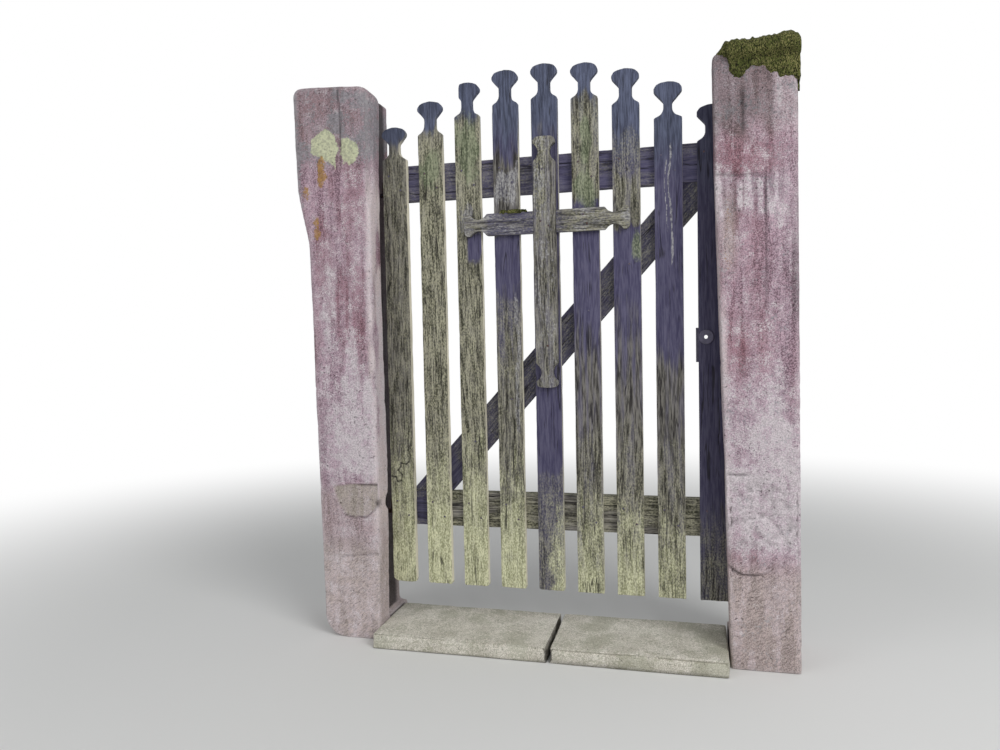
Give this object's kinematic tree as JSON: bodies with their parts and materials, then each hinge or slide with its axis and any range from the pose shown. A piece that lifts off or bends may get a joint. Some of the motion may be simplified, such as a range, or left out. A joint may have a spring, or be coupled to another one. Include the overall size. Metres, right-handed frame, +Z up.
{
  "type": "wooden picket gate with stone posts",
  "caption": "Garden gate leaf of shaped pickets under an arched top line, with rails, a brace and a plain cross, hung on pintles in hewn sandstone posts over a stone sill.",
  "frame": {"origin": "middle of the hinge post's foot, on the foot's face at ground level", "axes": "+X along the gateway from the hinge post to the latch post, +Y into the garden, +Z up"},
  "size_m": [1.7649, 0.37, 2.0727],
  "materials": {
    "sandstone": "hewn red sandstone, weathered",
    "sill_stone": "worn stone with algae",
    "picket_wood": "weathered boards, dark stain, algae",
    "rail_wood": "dark stained, sheltered",
    "cross_wood": "weathered grey-brown, lichen",
    "iron": "wrought iron, dark, rusty"
  },
  "bodies": {
    "gateway": {"left_post": "sandstone", "right_post": "sandstone", "sill_left": "sill_stone", "sill_right": "sill_stone", "upper_pintle": "iron", "lower_pintle": "iron", "keep_plate": "iron"},
    "leaf": {"picket_1": "picket_wood", "picket_2": "picket_wood", "picket_3": "picket_wood", "picket_4": "picket_wood", "picket_5": "picket_wood", "picket_6": "picket_wood", "picket_7": "picket_wood", "picket_8": "picket_wood", "picket_9": "picket_wood", "top_rail": "rail_wood", "bottom_rail": "rail_wood", "brace": "rail_wood", "cross_upright": "cross_wood", "cross_arm": "cross_wood", "upper_strap": "iron", "lower_strap": "iron", "lock_case": "iron", "lock_bolt": "iron", "spindle_rosette": "iron"}
  },
  "joints": [
    {"name": "leaf_hinge", "type": "hinge", "parent": "gateway", "child": "leaf", "pos_m": [0.112, 0.03705, 1.083], "axis": [0, 0, 1], "range_deg": [0, 95]}
  ]
}
